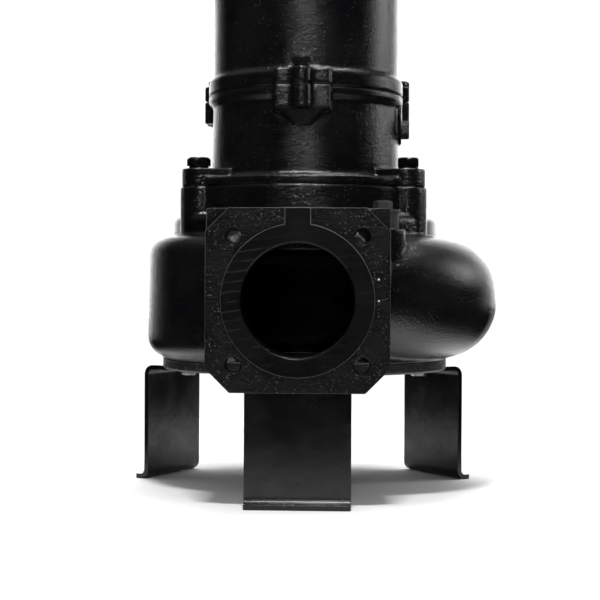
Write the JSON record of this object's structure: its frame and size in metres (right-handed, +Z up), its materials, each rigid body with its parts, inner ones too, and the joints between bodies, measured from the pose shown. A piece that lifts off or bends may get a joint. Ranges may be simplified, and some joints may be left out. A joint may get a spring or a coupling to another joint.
{
  "type": "submersible sewage pump",
  "caption": "Submersible sewage pump: sealed upright motor on an oil chamber and a spiral casing with a square discharge flange, on bent sheet legs.",
  "frame": {"origin": "where the shaft axis meets the floor that the legs stand on", "axes": "+Z up along the shaft, -Y out of the discharge flange, +X to the right seen from the flange side"},
  "size_m": [0.3854, 0.3721, 0.714],
  "materials": {
    "casting_paint": "gloss black paint over a grainy iron casting",
    "sheet_paint": "smooth gloss black paint on bent steel",
    "painted_bolts": "gloss black paint",
    "plain_bolts": "plain stainless steel",
    "vent_metal": "unpainted mid-grey metal",
    "wear_metal": "machined",
    "gland_metal": "nickel-plated brass",
    "rubber": "matt",
    "cast_iron": "bare casting, machined seats",
    "steel": "machined",
    "bearing_steel": "ground",
    "ceramic": "lapped ceramic",
    "carbon": "lapped carbon",
    "laminations": "stacked electrical steel",
    "winding_copper": "varnished copper wire",
    "dark_plastic": "moulded",
    "impeller_iron": "dark casting",
    "aluminium": "die cast"
  },
  "bodies": {
    "pump_body": {"volute_casing": "casting_paint", "suction_cover": "casting_paint", "wear_ring": "wear_metal", "suction_cover_o_ring": "rubber", "leg_front": "sheet_paint", "leg_rear_right": "sheet_paint", "leg_rear_left": "sheet_paint", "leg_bolts": "plain_bolts", "vent_body": "vent_metal", "vent_cap": "vent_metal", "oil_chamber_housing": "casting_paint", "casing_o_ring": "rubber", "casing_bolts": "painted_bolts", "casing_spring_washers": "painted_bolts", "oil_plug": "painted_bolts", "oil_plug_washer": "painted_bolts", "bearing_bracket": "cast_iron", "bracket_o_ring": "rubber", "bearing_retainer": "steel", "retainer_screws": "steel", "seal_seats": "ceramic", "lower_bearing_outer_ring": "bearing_steel", "upper_bearing_outer_ring": "bearing_steel", "preload_spring": "steel", "motor_housing": "casting_paint", "motor_bolts": "painted_bolts", "motor_spring_washers": "painted_bolts", "top_cover_bolts": "painted_bolts", "top_cover_spring_washers": "painted_bolts", "stator_core": "laminations", "stator_windings": "winding_copper", "top_cover": "casting_paint", "terminal_block": "dark_plastic", "cable_gland_body": "gland_metal", "cable_gland_nut": "gland_metal", "cable_gland_grommet": "rubber", "lifting_handle": "sheet_paint", "handle_bolts": "plain_bolts"},
    "rotor": {"shaft": "steel", "impeller": "impeller_iron", "impeller_key": "steel", "impeller_washer": "steel", "impeller_bolt": "steel", "rotor_core": "laminations", "rotor_end_rings": "aluminium", "seal_rings": "carbon", "seal_springs": "steel", "seal_collars": "steel", "lower_bearing_inner_ring": "bearing_steel", "upper_bearing_inner_ring": "bearing_steel", "bearing_circlip": "steel"},
    "lower_ball_set": {"lower_bearing_balls": "bearing_steel", "lower_bearing_cage": "steel"},
    "upper_ball_set": {"upper_bearing_balls": "bearing_steel", "upper_bearing_cage": "steel"}
  },
  "joints": [
    {"name": "rotor_spin", "type": "hinge", "parent": "pump_body", "child": "rotor", "pos_m": [0, 0, 0.196], "axis": [0, 0, 1], "continuous": true},
    {"name": "lower_ball_orbit", "type": "hinge", "parent": "pump_body", "child": "lower_ball_set", "pos_m": [0, 0, 0.4075], "axis": [0, 0, 1], "continuous": true},
    {"name": "upper_ball_orbit", "type": "hinge", "parent": "pump_body", "child": "upper_ball_set", "pos_m": [0, 0, 0.587], "axis": [0, 0, 1], "continuous": true}
  ],
  "couplings": [
    {"joint": "lower_ball_orbit", "follows": "rotor_spin", "ratio": 0.384},
    {"joint": "upper_ball_orbit", "follows": "rotor_spin", "ratio": 0.3794}
  ]
}
